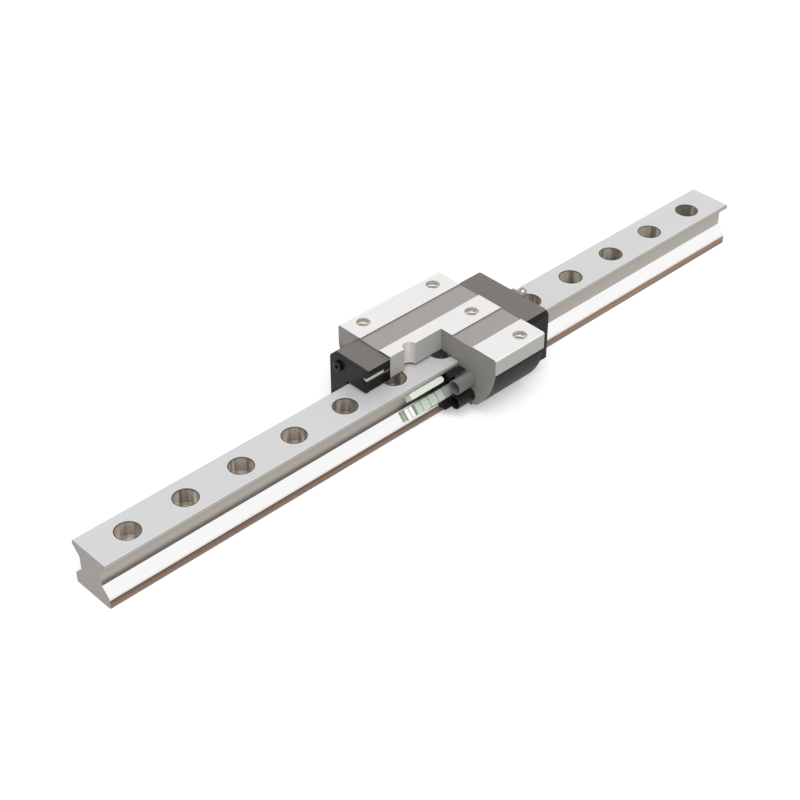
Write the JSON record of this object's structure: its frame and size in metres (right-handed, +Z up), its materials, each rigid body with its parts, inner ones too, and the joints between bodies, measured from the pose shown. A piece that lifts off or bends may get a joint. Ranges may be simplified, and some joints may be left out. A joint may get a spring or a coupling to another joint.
{
  "type": "roller linear guide",
  "caption": "Roller linear guide with a flanged carriage on a bolted rail, one quarter of the carriage cut away to show its chained rollers and return tubes.",
  "frame": {"origin": "on the rail's mounting face, under the middle of the rail", "axes": "+X along the rail towards the grease nipple, +Y across it towards the whole side of the carriage, +Z up from the mounting face"},
  "size_m": [0.4, 0.07, 0.036],
  "materials": {
    "rail_steel": "ground",
    "block_steel": "milled, ground pads",
    "cap_resin": "moulded",
    "seal_rubber": "moulded",
    "plate_steel": "blackened",
    "guide_resin": "moulded",
    "chain_resin": "moulded",
    "roller_steel": "ground",
    "fitting_steel": "zinc plated"
  },
  "bodies": {
    "rail": {"rail": "rail_steel"},
    "carriage": {"carriage_block": "block_steel", "front_end_cap": "cap_resin", "front_end_seal": "seal_rubber", "front_left_return_guide": "guide_resin", "front_port_plug": "fitting_steel", "front_seal_plate": "plate_steel", "grease_nipple": "fitting_steel", "left_inner_holder": "guide_resin", "left_lower_holder": "guide_resin", "left_lower_roller_chain": "chain_resin", "left_side_seal": "seal_rubber", "left_upper_holder": "guide_resin", "left_upper_roller_chain": "chain_resin", "rear_end_cap": "cap_resin", "rear_end_seal": "seal_rubber", "rear_left_return_guide": "guide_resin", "rear_right_return_guide": "guide_resin", "rear_seal_plate": "plate_steel", "right_inner_holder": "guide_resin", "right_lower_holder": "guide_resin", "right_lower_return_tube": "guide_resin", "right_lower_roller_chain": "chain_resin", "right_lower_rollers": "roller_steel", "right_side_seal": "seal_rubber", "right_upper_holder": "guide_resin", "right_upper_return_tube": "guide_resin", "right_upper_roller_chain": "chain_resin", "right_upper_rollers": "roller_steel"}
  },
  "joints": [
    {"name": "carriage_slide", "type": "slide", "parent": "rail", "child": "carriage", "axis": [1, 0, 0], "range_m": [-0.15, 0.15]}
  ]
}
